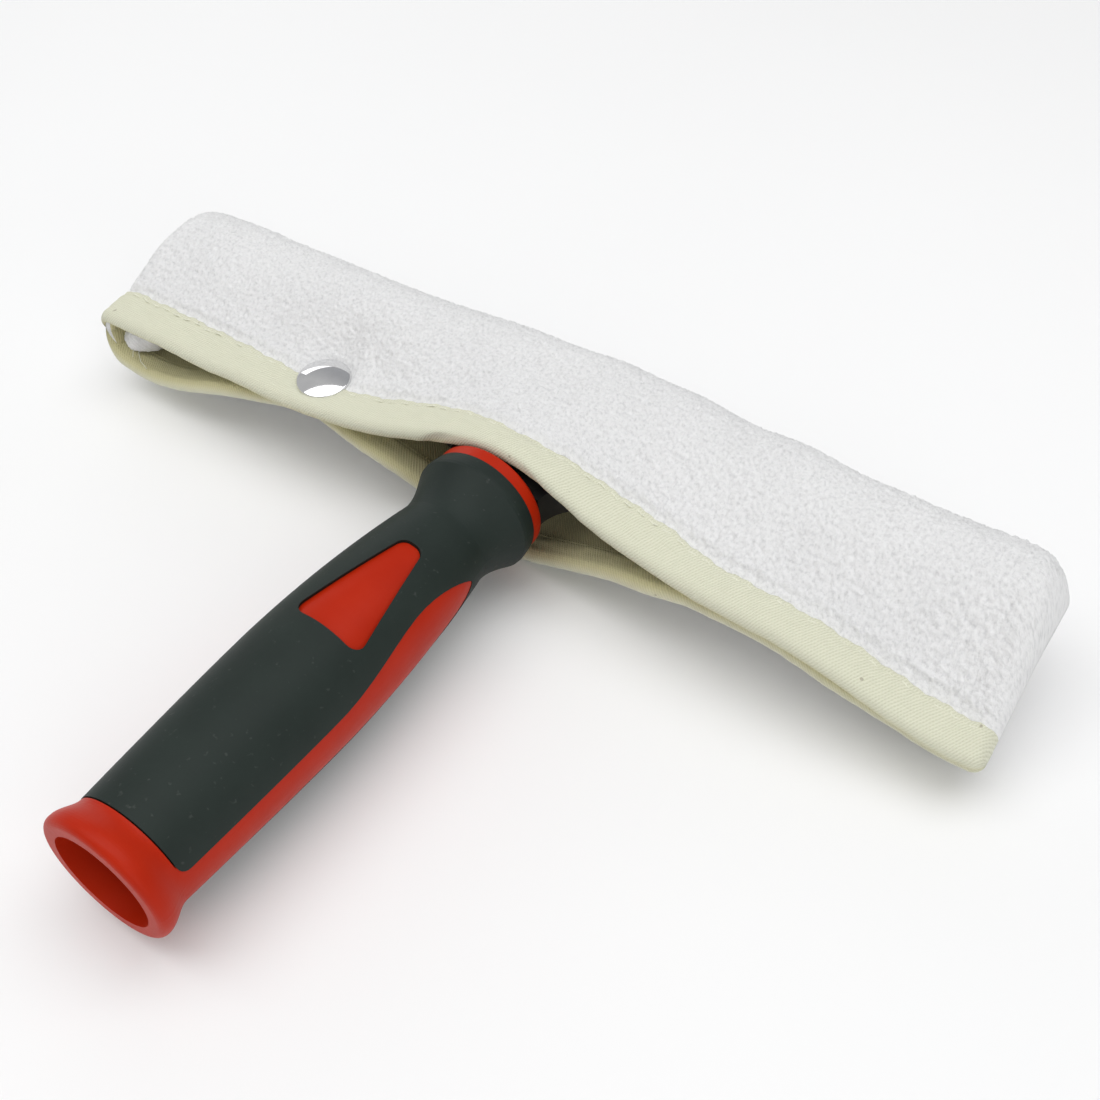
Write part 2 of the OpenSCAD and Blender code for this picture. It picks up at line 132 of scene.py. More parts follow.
def skin_point(x, t):
    """(y, z) of the sleeve's outside at x.

    t runs from the lower lip (0) over the fold (1 to 2) to the upper lip (3).
    """
    x, t = np.broadcast_arrays(np.asarray(x, float), np.asarray(t, float))
    n, e, p = nose_y(x), edge_y(x), bell(x, SNAP_X, STUD_PULL)
    up, low = upper_z(x) + FAB / 2, upper_z(x) - spread(x) - FAB / 2
    a, el = arm(x), e + tuck(x)
    u = np.clip(t - 2, 0, 1)
    top, bottom = FOLD_Z + FOLD_R, FOLD_Z - FOLD_R
    yu = bezier((n, n - 14, e + a, e), u)
    zu = bezier((top, top, up + 1.4 - 3.2 * p, up), u)
    v = np.clip(t, 0, 1)
    yl = bezier((el, el + a, n - 12, n), v)
    zl = bezier((low, low - 0.6 + 3 * p, bottom, bottom), v)
    q = np.pi * (np.clip(t - 1, 0, 1) - 0.5)
    yf, zf = n + FOLD_R * np.cos(q), FOLD_Z + FOLD_R * np.sin(q)
    y = np.where(t <= 1, yl, np.where(t <= 2, yf, yu))
    z = np.where(t <= 1, zl, np.where(t <= 2, zf, zu))
    return np.stack([y, z], -1)


def normal(x, t):
    """The outward direction in the y-z plane."""
    x, t = np.broadcast_arrays(np.asarray(x, float), np.asarray(t, float))
    a, b = skin_point(x, np.clip(t - 0.01, 0, 3)), skin_point(x, np.clip(t + 0.01, 0, 3))
    v = b - a
    v /= np.linalg.norm(v, axis=-1, keepdims=True)
    return np.stack([v[..., 1], -v[..., 0]], -1)


def skin(x, t, d):
    """(y, z) of the point d outside the sleeve's skin."""
    return skin_point(x, t) + np.asarray(d)[..., None] * normal(x, t)


def even_t(t0, t1, n, x=0.0):
    """n + 1 values of t between t0 and t1, equally far apart along the cloth at x."""
    t = np.linspace(t0, t1, 600)
    p = skin_point(x, t)
    s = np.concatenate([[0], np.cumsum(np.linalg.norm(np.diff(p, axis=0), axis=1))])
    return np.interp(np.linspace(0, s[-1], n + 1), s, t)


def length_t(t0, t1, x=0.0):
    p = skin_point(x, np.linspace(t0, t1, 400))
    return float(np.linalg.norm(np.diff(p, axis=0), axis=1).sum())


# Where the press stud's cap sits: the middle of its base, on the stud's tilted axis
TOP = skin_point(SNAP_X, 2 + SNAP_U)
BELOW = skin_point(SNAP_X, np.linspace(0, 1, 2001))
BELOW = BELOW[np.argmin(np.abs(BELOW[:, 0] - TOP[0]))]
CAP_RISE = (TOP[1] - BELOW[1]) * math.cos(math.radians(SNAP_TILT)) + 0.3
CAP = (
    TOP[0] - CAP_RISE * math.sin(math.radians(SNAP_TILT)),
    BELOW[1] + CAP_RISE * math.cos(math.radians(SNAP_TILT)),
)


# Both ends are sewn shut and turned: past its last straight station the section closes onto its
# middle line.
def end_radius(t, side):
    x = X_LEFT + 6 if side < 0 else X_RIGHT - 6
    p = skin_point(x, t)
    q = skin_point(x, 3 - np.asarray(t))
    h = np.linalg.norm(p - q, axis=-1) / 2
    return np.clip(0.85 * h, 2.6, 5.5 if side < 0 else 7.5)


def rows(n_core, n_end):
    """Stations along the sleeve: (share of the straight part, turn of the end in radians, side)."""
    turn = np.linspace(0, np.pi / 2, n_end + 1)[1:]
    left = [(0.0, a, -1) for a in turn[::-1]]
    core = [(f, 0.0, 0) for f in np.linspace(0, 1, n_core + 1)]
    right = [(1.0, a, 1) for a in turn]
    return left + core + right


def stations(spec, t, d_end=0.0):
    """x of every row and column, and how far each still stands off the middle line.

    d_end moves the ends in.
    """
    share = np.array([s[0] for s in spec])[:, None]
    turn = np.array([s[1] for s in spec])[:, None]
    side = np.array([s[2] for s in spec])[:, None]
    rl, rr = end_radius(t, -1)[None], end_radius(t, 1)[None]
    slant = 2.6 - 3.8 * np.abs(np.asarray(t) / 1.5 - 1)[None]  # the left end leans back at the fold
    x0, x1 = X_LEFT + rl + slant, X_RIGHT - rr
    core = x0 + (x1 - x0) * share
    left = x0 - np.maximum(0.4, rl - d_end) * np.sin(turn)
    right = x1 + np.maximum(0.4, rr - d_end) * np.sin(turn)
    x = np.where(side < 0, left, np.where(side > 0, right, core))
    return x, np.cos(turn) * np.ones_like(x)


def place(x, hold, t, yz):
    """Points in metres: yz drawn towards the section's middle line by 1 - hold."""
    middle = (skin_point(x, t) + skin_point(x, 3 - t)) / 2
    p = middle + (yz - middle) * hold[..., None]
    return np.concatenate([x[..., None], p], -1) * MM


def lift_weight(x, t):
    """How much of the flap's turn the cloth takes at x, t."""
    over = smooth((t - 1.5) / 0.85)
    along = smooth((x + 129) / 48) * smooth((66 - x) / 60)
    return over * along


# ------------------------------------------------------------------ noise without images
def waves(x, y, scale, seed, octaves=3):
    """Smooth repeatable noise, about -1 to 1, from sums of turned sines."""
    r = np.random.default_rng(seed)
    total, weight = np.zeros_like(x), 0.0
    for k in range(octaves):
        f = 2 * np.pi / scale * 1.9**k
        for _ in range(5):
            a, ph = r.uniform(0, np.pi), r.uniform(0, 2 * np.pi)
            g = f * r.uniform(0.75, 1.3)
            total += 0.6**k * np.sin(g * (x * math.cos(a) + y * math.sin(a)) + ph)
        weight += 0.6**k * math.sqrt(5 / 2) * 1.3
    return total / weight


# ------------------------------------------------------------------ meshes
def mesh_object(name, points, faces, uv=None):
    me = bpy.data.meshes.new(name)
    me.from_pydata([tuple(p) for p in points], [], [tuple(int(i) for i in f) for f in faces])
    me.validate(verbose=False)
    if uv is not None:
        layer = me.uv_layers.new(name="cloth")
        loop = np.empty(len(me.loops), dtype=np.int32)
        me.loops.foreach_get("vertex_index", loop)
        layer.data.foreach_set("uv", np.asarray(uv, np.float32)[loop].ravel())
    me.polygons.foreach_set("use_smooth", [True] * len(me.polygons))
    me.update()
    o = bpy.data.objects.new(name, me)
    scene.collection.objects.link(o)
    return o


def grid_faces(m, n, start=0, flip=False):
    i, j = np.meshgrid(np.arange(m - 1), np.arange(n - 1), indexing="ij")
    a = start + i * n + j
    f = np.stack([a, a + 1, a + n + 1, a + n], -1).reshape(-1, 4)
    return f[:, ::-1] if flip else f


def rim_faces(m, n, k):
    """Faces that join the edges of two m by n grids, the second starting at vertex k."""
    ring = (
        [(0, j) for j in range(n)]
        + [(i, n - 1) for i in range(1, m)]
        + [(m - 1, j) for j in range(n - 2, -1, -1)]
        + [(i, 0) for i in range(m - 2, 0, -1)]
    )
    idx = [i * n + j for i, j in ring]
    return np.array([(b, a, k + a, k + b) for a, b in zip(idx, idx[1:] + idx[:1])])


def shell(name, outer, inner, uv):
    """A closed sheet from two grids of points, m by n by 3."""
    m, n = outer.shape[:2]
    k = m * n
    pts = np.concatenate([outer.reshape(-1, 3), inner.reshape(-1, 3)])
    faces = np.concatenate([grid_faces(m, n), grid_faces(m, n, k, True), rim_faces(m, n, k)])
    uvs = np.concatenate([uv.reshape(-1, 2), uv.reshape(-1, 2)])
    return mesh_object(name, pts, faces, uvs)


def set_blend(o):
    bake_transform(o)


# ------------------------------------------------------------------ materials
class Nodes:
    def __init__(self, name):
        self.mat = bpy.data.materials.new(name)
        self.mat.use_nodes = True
        self.tree = self.mat.node_tree
        self.bsdf = self.tree.nodes["Principled BSDF"]

    def add(self, kind, **inputs):
        n = self.tree.nodes.new(kind)
        for k, v in inputs.items():
            if k.startswith("_"):
                setattr(n, k[1:], v)
            else:
                n.inputs[k.replace("__", " ")].default_value = v
        return n

    def link(self, a, b):
        self.tree.links.new(a, b)

    def uv(self, scale):
        t = self.add("ShaderNodeUVMap", _uv_map="cloth")
        m = self.add("ShaderNodeMapping")
        m.inputs["Scale"].default_value = scale
        self.link(t.outputs["UV"], m.inputs["Vector"])
        return m.outputs["Vector"]

    def local(self, scale=(1, 1, 1)):
        t = self.add("ShaderNodeTexCoord")
        m = self.add("ShaderNodeMapping")
        m.inputs["Scale"].default_value = scale
        self.link(t.outputs["Object"], m.inputs["Vector"])
        return m.outputs["Vector"]

    def noise(self, vector, scale, detail=4, rough=0.6):
        n = self.add("ShaderNodeTexNoise", Scale=scale, Detail=detail, Roughness=rough)
        self.link(vector, n.inputs["Vector"])
        return n.outputs["Fac"]

    def ramp(self, value, stops):
        n = self.add("ShaderNodeValToRGB")
        e = n.color_ramp.elements
        while len(e) < len(stops):
            e.new(0.5)
        for k, (at, colour) in zip(e, stops):
            k.position = at
            k.color = (*colour, 1)
        self.link(value, n.inputs["Fac"])
        return n.outputs["Color"]

    def math(self, op, a, b=None, clamp=False):
        n = self.add("ShaderNodeMath", _operation=op, _use_clamp=clamp)
        for k, v in enumerate((a, b)):
            if v is None:
                continue
            if isinstance(v, (int, float)):
                n.inputs[k].default_value = v
            else:
                self.link(v, n.inputs[k])
        return n.outputs[0]

    def mix(self, fac, a, b, blend="MIX"):
        n = self.add("ShaderNodeMix", _data_type="RGBA", _blend_type=blend)
        for sock, v in ((n.inputs[0], fac), (n.inputs[6], a), (n.inputs[7], b)):
            if hasattr(v, "node"):
                self.link(v, sock)
            elif isinstance(v, (int, float)):
                sock.default_value = v
            else:
                sock.default_value = (*v, 1)
        return n.outputs[2]

    def bump(self, height, distance, strength=1.0, before=None):
        n = self.add("ShaderNodeBump", Strength=strength, Distance=distance)
        self.link(height, n.inputs["Height"])
        if before is not None:
            self.link(before, n.inputs["Normal"])
        return n.outputs["Normal"]

    def set(self, **inputs):
        for k, v in inputs.items():
            s = self.bsdf.inputs[k.replace("__", " ")]
            if hasattr(v, "node"):
                self.link(v, s)
            else:
                s.default_value = v
        return self.mat


def pile_material():
    m = Nodes("pile")
    v = m.uv((1, 1, 1))
    fine = m.noise(v, 2600, 3, 0.7)
    tufts = m.noise(v, 1150, 3, 0.6)
    broad = m.noise(v, 24, 3, 0.5)
    shades = [(0.3, (0.66, 0.66, 0.665)), (0.5, (0.80, 0.80, 0.80)), (0.75, (0.86, 0.86, 0.86))]
    uneven = m.ramp(broad, [(0.3, (0.90, 0.90, 0.905)), (0.7, (1.0, 1.0, 1.0))])
    colour = m.mix(0.5, m.ramp(tufts, shades), uneven, "MULTIPLY")
    height = m.math("ADD", m.math("MULTIPLY", fine, 0.6), tufts)
    return m.set(
        Base__Color=colour,
        Roughness=0.95,
        Sheen__Weight=0.35,
        Sheen__Roughness=0.6,
        Specular__IOR__Level=0.2,
        Normal=m.bump(height, 0.0005, 0.6),
    )


def twill_material(name, light, dark, pitch, slant, inside=None):
    """Woven twill: slanting ribs crossed by the weft, with slubs, specks and broad unevenness.

    inside is a painted shade, a darker and yellower colour multiplied into the half of the cloth that is
    turned to the inside of the sleeve, standing in for the shade in the pocket.
    """
    m = Nodes(name)
    v = m.uv((1, 1, 1))
    sep = m.add("ShaderNodeSeparateXYZ")
    m.link(v, sep.inputs[0])
    x, y = sep.outputs["X"], sep.outputs["Y"]
    wobble = m.math("MULTIPLY", m.noise(v, 160, 2, 0.5), pitch * 1.1)
    along = m.math("ADD", m.math("ADD", x, m.math("MULTIPLY", y, slant)), wobble)
    rib = m.math("SINE", m.math("MULTIPLY", along, 2 * math.pi / pitch))
    weft = m.math("SINE", m.math("MULTIPLY", m.math("ADD", y, wobble), 2 * math.pi / (pitch * 0.8)))
    weave = m.math("ADD", m.math("MULTIPLY", rib, 0.55), m.math("MULTIPLY", weft, 0.14))
    unit = m.math("ADD", m.math("MULTIPLY", weave, 0.5), 0.5, True)
    yarn = m.noise(v, 520, 4, 0.7)
    broad = m.noise(v, 34, 3, 0.5)
    colour = m.ramp(unit, [(0.0, dark), (0.55, light)])
    colour = m.mix(m.math("MULTIPLY", yarn, 0.22), colour, tuple(c * 0.82 for c in light))
    aged = tuple(c * k for c, k in zip(light, (0.93, 0.94, 0.86)))
    colour = m.mix(m.math("MULTIPLY", broad, 0.3), colour, aged)
    speck = m.ramp(m.noise(v, 420, 1, 0.2), [(0.19, (1, 1, 1)), (0.215, (0, 0, 0))])
    colour = m.mix(m.math("MULTIPLY", speck, 0.55), colour, (0.24, 0.20, 0.14))
    # Painted shade: the turned-in half of the tape is multiplied by the inside colour, darkening and
    # yellowing it as the shaded pocket would.
    if inside:
        turned = m.math("MULTIPLY", m.math("SUBTRACT", y, 0.0095), 330, True)
        colour = m.mix(turned, colour, m.mix(1.0, colour, inside, "MULTIPLY"))
    height = m.math("ADD", weave, m.math("MULTIPLY", yarn, 0.6))
    return m.set(
        Base__Color=colour,
        Roughness=0.88,
        Sheen__Weight=0.12,
        Sheen__Roughness=0.5,
        Specular__IOR__Level=0.25,
        Normal=m.bump(height, 0.00012, 0.8),
    )


def thread_material():
    m = Nodes("thread")
    v = m.local()
    twist = m.noise(v, 2400, 2, 0.5)
    colour = m.ramp(twist, [(0.3, (0.68, 0.68, 0.56)), (0.7, (0.80, 0.80, 0.67))])
    return m.set(Base__Color=colour, Roughness=0.7, Normal=m.bump(twist, 0.0001, 0.6))


def red_material():
    m = Nodes("red_plastic")
    v = m.local()
    fine = m.noise(v, 1500, 3, 0.6)
    broad = m.noise(v, 45, 3, 0.5)
    scuff = m.noise(m.local((1, 0.25, 1)), 900, 6, 0.75)
    colour = m.ramp(broad, [(0.3, (0.405, 0.016, 0.002)), (0.7, (0.465, 0.022, 0.004))])
    rough = m.math("ADD", 0.30, m.math("MULTIPLY", scuff, 0.22))
    return m.set(
        Base__Color=colour,
        Roughness=rough,
        Specular__IOR__Level=0.12,
        Subsurface__Weight=0.08,
        Subsurface__Radius=(0.004, 0.0008, 0.0004),
        Subsurface__Scale=0.3,
        Normal=m.bump(fine, 0.00005, 0.35),
    )


def rubber_material():
    m = Nodes("soft_skin")
    v = m.local()
    grain = m.noise(v, 2600, 3, 0.6)
    broad = m.noise(v, 60, 4, 0.55)
    dust = m.ramp(m.noise(v, 700, 2, 0.4), [(0.68, (0, 0, 0)), (0.78, (1, 1, 1))])
    colour = m.ramp(broad, [(0.3, (0.013, 0.020, 0.017)), (0.7, (0.018, 0.027, 0.023))])
    colour = m.mix(m.math("MULTIPLY", dust, 0.06), colour, (0.35, 0.35, 0.33))
    rough = m.math("ADD", 0.46, m.math("MULTIPLY", broad, 0.2))
    return m.set(
        Base__Color=colour,
        Roughness=rough,
        Specular__IOR__Level=0.2,
        Normal=m.bump(grain, 0.00005, 0.5),
    )


def black_material():
    m = Nodes("black_plastic")
    v = m.local()
    grain = m.noise(v, 1600, 3, 0.6)
    broad = m.noise(v, 50, 3, 0.5)
    colour = m.ramp(broad, [(0.3, (0.010, 0.010, 0.011)), (0.7, (0.018, 0.018, 0.019))])
    return m.set(
        Base__Color=colour,
        Roughness=m.math("ADD", 0.32, m.math("MULTIPLY", broad, 0.2)),
        Normal=m.bump(grain, 0.00006, 0.5),
    )


def metal_material(name, colour, rough):
    m = Nodes(name)
    v = m.local((1, 1, 1))
    scratch = m.noise(m.local((0.2, 1, 1)), 2500, 4, 0.7)
    smudge = m.noise(v, 220, 3, 0.5)
    return m.set(
        Base__Color=m.ramp(smudge, [(0.3, tuple(c * 0.93 for c in colour)), (0.7, colour)]),
        Metallic=1.0,
        Roughness=m.math("ADD", rough, m.math("MULTIPLY", smudge, rough * 0.8)),
        Normal=m.bump(scratch, 0.00001, 0.25),
    )


PILE = pile_material()
RIB = 0.00078
# The last colour is painted shade for the binding's turned-in half inside the pocket.
BINDING = twill_material(
    "binding_twill", (0.73, 0.73, 0.59), (0.53, 0.53, 0.385), RIB, 0.7, (0.88, 0.83, 0.62)
)
TWILL = twill_material("lining_twill", (0.60, 0.56, 0.33), (0.38, 0.35, 0.18), RIB, 0.8)
THREAD = thread_material()
RED = red_material()
RUBBER = rubber_material()
BLACK = black_material()
CHROME = metal_material("chrome", (0.86, 0.86, 0.87), 0.05)
NICKEL = metal_material("nickel", (0.66, 0.65, 0.62), 0.22)
STEEL = metal_material("steel", (0.56, 0.57, 0.60), 0.28)


def paint(o, material):
    o.data.materials.clear()
    o.data.materials.append(material)


def paint_node(name, material):
    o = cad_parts[name]
    for s in o.material_slots:
        s.material = material
    if not o.material_slots:
        o.data.materials.append(material)


for node, material in {
    "handle_core": RED,
    "grip_overmould": RUBBER,
    "t_bar": BLACK,
    "retaining_screw": STEEL,
    "screw_washer": STEEL,
    "snap_stud": NICKEL,
    "snap_socket": NICKEL,
    "snap_eyelet": NICKEL,
    "closing_seam": THREAD,
}.items():
    paint_node(node, material)

# ------------------------------------------------------------------ pile
CORE_STEPS, END_STEPS = 480, 11
COLUMNS = 260
FACE_LEN = 42


def gathers(x):
    """Where the stitches draw the cloth in, 0 to 1 once a stitch, not quite evenly."""
    return 0.5 + 0.5 * np.sin(x * 2 * np.pi / STITCH_PITCH + 0.8 * np.sin(x / 9))


def binding_edge(x, s):
    """t at which the binding ends on the outer face; s is 1 for the upper lip and -1 for the lower."""
    ripple = 0.006 * np.sin(x * 0.61) + 0.004 * np.sin(x * 1.73 + 1)
    u = tape_u(x, tape_w(x)) + ripple
    return 2 + u if s > 0 else 1 - u


def cloth_wave(x, t):
    """Slack in the cloth: outward only, so that it stays clear of the bar."""
    s = t * 45
    calm = 1 - 0.8 * bell(x, SNAP_X, 16) * bell(t, 2.8, 0.4)
    return calm * (0.45 + 0.55 * waves(x, s, 52, 3, 2))


def round_snap(x, t):
    """How far the skin's points lie outside the rim of the press stud, and over the plane it presses on.

    On the upper face that is the cap, on the lower face the disc of the eyelet.
    """
    p = skin_point(x, t)
    lean = math.radians(SNAP_TILT)
    top = t > 1.5
    y = p[..., 0] - np.where(top, CAP[0], BELOW[0])
    z = p[..., 1] - np.where(top, CAP[1], BELOW[1])
    along = y * math.cos(lean) + z * math.sin(lean)
    over = z * math.cos(lean) - y * math.sin(lean)
    away = np.hypot(x - SNAP_X, along) - np.where(top, CAP_R, DISC_R)
    return away, np.where(top, over, -over - DISC_IN - 0.45)


def under_snap(x, t, d):
    """Heights d over the skin, pressed down by the press stud's cap or disc and rising from its rim."""
    away, over = round_snap(x, t)
    ceiling = -0.25 + 1.5 * smooth((away + 0.1) / 1.2) + 0.82 * np.maximum(0, away - 1.1)
    most = np.where(away < 0, ceiling - over, np.maximum(ceiling - over, -1.0))
    above = d - most
    return d - 0.5 * (above + np.sqrt(above**2 + 0.25)) * (1 - smooth((away - 9.5) / 8))


spec = rows(CORE_STEPS, END_STEPS)
t_pile = even_t(0, 3, COLUMNS)
t_grid = np.broadcast_to(t_pile, (len(spec), len(t_pile))).copy()
x_grid, hold = stations(spec, t_pile)
s_len = np.array([length_t(0, t) for t in t_pile])
s_grid = np.broadcast_to(s_len, t_grid.shape)

to_edge_up = (binding_edge(x_grid, 1) - t_grid) * FACE_LEN
to_edge_low = (t_grid - binding_edge(x_grid, -1)) * FACE_LEN
inside = np.minimum(to_edge_up, to_edge_low)
free = smooth(inside / 3.2)
tufts = waves(x_grid, s_grid, 3.1, 11, 3)
grain = rng.uniform(-1, 1, t_grid.shape)
fuzz = 0.14 * tufts + 0.34 * grain
puff = 0.75 * free - 0.45 * bell(inside, 2.4, 0.9) * smooth((x_grid - 40) / 25)
pucker = -0.35 * bell(inside, 0.6, 1.6) * gathers(x_grid)
d = cloth_wave(x_grid, t_grid) + free * puff + pucker
d = np.where(inside < 0, np.minimum(d, cloth_wave(x_grid, t_grid)) - 0.1, d)
d = under_snap(x_grid, t_grid, d)
d = d + free * fuzz * hold.clip(0.25, 1) * smooth(round_snap(x_grid, t_grid)[0] - 0.1)
outer = place(x_grid, hold, t_grid, skin(x_grid, t_grid, d))
x_in, hold_in = stations(spec, t_pile, PILE_T)
inner = place(x_in, hold_in, t_grid, skin(x_in, t_grid, -PILE_T + cloth_wave(x_in, t_grid) * 0.9))
uv = np.stack([x_grid * MM, s_grid * MM], -1)
pile = shell("sleeve_pile", outer, inner, uv)
paint(pile, PILE)
set_blend(pile)
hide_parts("pile_shell", "flap_shell", "left_end_seam", "right_end_seam")

# ------------------------------------------------------------------ lining
spec_l = rows(170, 6)
t_lin = even_t(0, 3, 100)
t_gl = np.broadcast_to(t_lin, (len(spec_l), len(t_lin))).copy()
s_gl = np.broadcast_to(np.array([length_t(0, t) for t in t_lin]), t_gl.shape)
layers = []
for depth in (PILE_T + 0.1, FAB):
    x_l, hold_l = stations(spec_l, t_lin, depth)
    crease = 0.12 * waves(x_l, s_gl, 17, 21, 3)
    sunk = skin(x_l, t_gl, -depth + cloth_wave(x_l, t_gl) * 0.9 + crease)
    layers.append((x_l, place(x_l, hold_l, t_gl, sunk)))
uv = np.stack([layers[0][0] * MM, s_gl * MM], -1)
lining = shell("sleeve_lining_cloth", layers[0][1], layers[1][1], uv)
paint(lining, TWILL)
set_blend(lining)
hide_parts("sleeve_lining", "flap_lining")


# ------------------------------------------------------------------ bindings
def off_the_grip(p, least):
    """Points, in metres, kept in front of the grip's end wherever the sleeve slides on the bar."""
    x, y, z = (p[..., k] / MM for k in range(3))
    aside = np.maximum(0, np.maximum(x - SLIDE_HIGH, SLIDE_LOW - x))
    w = smooth((RING_R + 3 - np.hypot(aside, z)) / 2.8)
    short = least - y
    p[..., 1] = (y + w * 0.5 * (short + np.sqrt(short**2 + 0.49))) * MM
    return p


def binding_strip(name, s):
    """The folded tape over one lip, as a closed sheet with a rolled edge."""
    spec_b = rows(260, 8)
    face = np.linspace(0, 1, 17)
    tip = np.linspace(0, 180, 13)[1:-1]
    n = len(face) * 2 + len(tip)
    m = len(spec_b)
    t_lip = 3.0 if s > 0 else 0.0
    t_col = np.concatenate([t_lip - s * TAPE_BITE * (1 - face), np.full(len(tip), t_lip)])
    t_col = np.concatenate([t_col, t_col[: len(face)][::-1]])
    x, hold = stations(spec_b, t_col)
    over = np.concatenate([face, np.ones(len(tip)), face[::-1]])[None] * np.ones((m, 1))
    row_t = np.broadcast_to(t_col, (m, n)).copy()
    edge = binding_edge(x, s)
    edge[:, -len(face) :] = (t_lip - s * (1 - tape_u(x, TAPE_IN)))[:, -len(face) :]
    row_t = edge + over * (t_lip - edge)
    full = 0.75 + 0.35 * smooth((x - 40) / 30)
    plump = 0.62 + full * np.sin(np.clip(over, 0, 1) * np.pi * 0.78) ** 0.8
    seam = -0.5 * bell(over, 0.17, 0.06) * (0.6 + 0.4 * gathers(x))
    pull = 0.22 * waves(x, over * 12, 9, 31 if s > 0 else 32, 2) * np.sin(over * np.pi * 0.9)
    hem = np.where(over < 0.04, -0.5, 0)
    wave = cloth_wave(x, row_t)
    top = under_snap(x, row_t, plump + seam + pull + hem + wave) - wave
    sides = []
    for layer_height in (top, np.minimum(0.06, top - 0.35)):
        pts = np.zeros((m, n, 2))
        k = len(face)
        pts[:, :k] = skin(x[:, :k], row_t[:, :k], wave[:, :k] + layer_height[:, :k])
        pts[:, -k:] = skin(x[:, -k:], row_t[:, -k:], wave[:, -k:] * 0.9 - FAB - layer_height[:, -k:] * 0.8)
        xt = x[:, k : k + len(tip)]
        w = normal(xt, t_lip)
        v = np.stack([-w[..., 1], w[..., 0]], -1) * s
        base = skin(xt, t_lip, cloth_wave(xt, t_lip) - FAB / 2)
        r = FAB / 2 + layer_height[:, k : k + len(tip)]
        q = np.radians(tip)[None]
        across, ahead = (r * np.cos(q))[..., None] * w, (r * np.sin(q) * 1.05)[..., None] * v
        pts[:, k : k + len(tip)] = base + across + ahead
        sides.append(off_the_grip(place(x, hold, row_t, pts), 132.0 if len(sides) == 0 else 132.35))
    along = np.concatenate([[0], np.cumsum(np.linalg.norm(np.diff(sides[0][m // 2], axis=0), axis=1))])
    uv = np.stack([x * MM, np.broadcast_to(along, x.shape)], -1)
    if s > 0:
        o = shell(name, sides[0], sides[1], uv)
    else:
        o = shell(name, sides[1], sides[0], uv)
    paint(o, BINDING)
    return o, lift_weight(x, row_t)


upper_tape, w_up = binding_strip("upper_lip_binding", 1)
set_blend(upper_tape)
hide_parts("upper_binding", "flap_binding")
lower_tape, _ = binding_strip("lower_lip_binding", -1)
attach(lower_tape, "sleeve")
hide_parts("lower_binding")


# ------------------------------------------------------------------ stitches
def stitch_row(name, s, nodes):
    """Lock stitches sunk in the tape near its edge, each a bent capsule of thread."""
    pts, faces, weights = [], [], []
    ring, steps = 7, 7
    for x in np.arange(X_LEFT + 7, X_RIGHT - 5, STITCH_PITCH):
        if abs(x - SNAP_X) < (9 if s > 0 else 7):
            continue
        xs = x + np.linspace(-STITCH_HALF, STITCH_HALF, steps)
        t = binding_edge(xs, s) + 0.038 * s + rng.uniform(-0.004, 0.004)
        sag = 0.34 * (1 - (np.linspace(-1, 1, steps)) ** 4) - 0.12
        yz = skin(xs, t, cloth_wave(xs, t) + 0.58 + sag)
        nrm = normal(xs, t)
        taper = np.sqrt(np.clip(1 - np.linspace(-1, 1, steps) ** 6, 0.06, 1))
        start = len(pts)
        for i in range(steps):
            centre = np.array([xs[i], yz[i, 0], yz[i, 1]])
            up = np.array([0, nrm[i, 0], nrm[i, 1]])
            side = np.array([0, -nrm[i, 1], nrm[i, 0]])
            for k in range(ring):
                a = 2 * math.pi * k / ring
                pts.append((centre + THREAD_R * taper[i] * (math.cos(a) * side + math.sin(a) * up)) * MM)
                weights.append(float(lift_weight(xs[i], t[i])))
        for i in range(steps - 1):
            for k in range(ring):
                a, b = start + i * ring + k, start + i * ring + (k + 1) % ring
                faces.append((a, a + ring, b + ring, b))
        faces.append(tuple(start + k for k in range(ring)))
        faces.append(tuple(start + (steps - 1) * ring + k for k in range(ring))[::-1])
    o = mesh_object(name, pts, faces)
    paint(o, THREAD)
    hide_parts(*nodes)
    return o, weights


upper_thread, w_st = stitch_row("upper_lip_stitches", 1, ["upper_topstitch", "flap_topstitch"])
set_blend(upper_thread)
lower_thread, _ = stitch_row("lower_lip_stitches", -1, ["lower_topstitch"])
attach(lower_thread, "sleeve")


# ------------------------------------------------------------------ press stud's cap
def lathe(name, profile, steps=96):
    """A turned piece about +Z from (r, z) points in millimetres; it closes at the axis."""
    pts, faces = [], []
    n = len(profile)
    for r, z in profile:
        for k in range(steps):
            a = 2 * math.pi * k / steps
            pts.append((r * math.cos(a) * MM, r * math.sin(a) * MM, z * MM))
    for i in range(n - 1):
        for k in range(steps):
            a, b = i * steps + k, i * steps + (k + 1) % steps
            faces.append((a, b, b + steps, a + steps))
    faces.append(tuple(range(steps))[::-1])
    faces.append(tuple((n - 1) * steps + k for k in range(steps)))
    return mesh_object(name, pts, faces)


DOME = 1.6
ball = (CAP_R**2 + DOME**2) / (2 * DOME)
profile = [(1.1, -2.6), (1.1, -0.5), (CAP_R - 1.2, -0.55), (CAP_R - 0.45, -0.4)]
edge = np.radians(np.arange(-75, 46, 20))
profile += [(CAP_R - 0.3 + 0.3 * math.cos(a), 0.3 * math.sin(a)) for a in edge]
crown = np.linspace(CAP_R - 0.2, 0.2, 40)
profile += [(r, 0.26 + math.sqrt(ball**2 - r * r) - (ball - DOME)) for r in crown]
cap = lathe("snap_cap_dome", profile)
seat = Matrix.Translation(Vector((SNAP_X, CAP[0], CAP[1])) * MM)
cap.matrix_world = seat @ Matrix.Rotation(math.radians(SNAP_TILT), 4, "X")
paint(cap, CHROME)
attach(cap, "flap")
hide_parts("snap_cap")

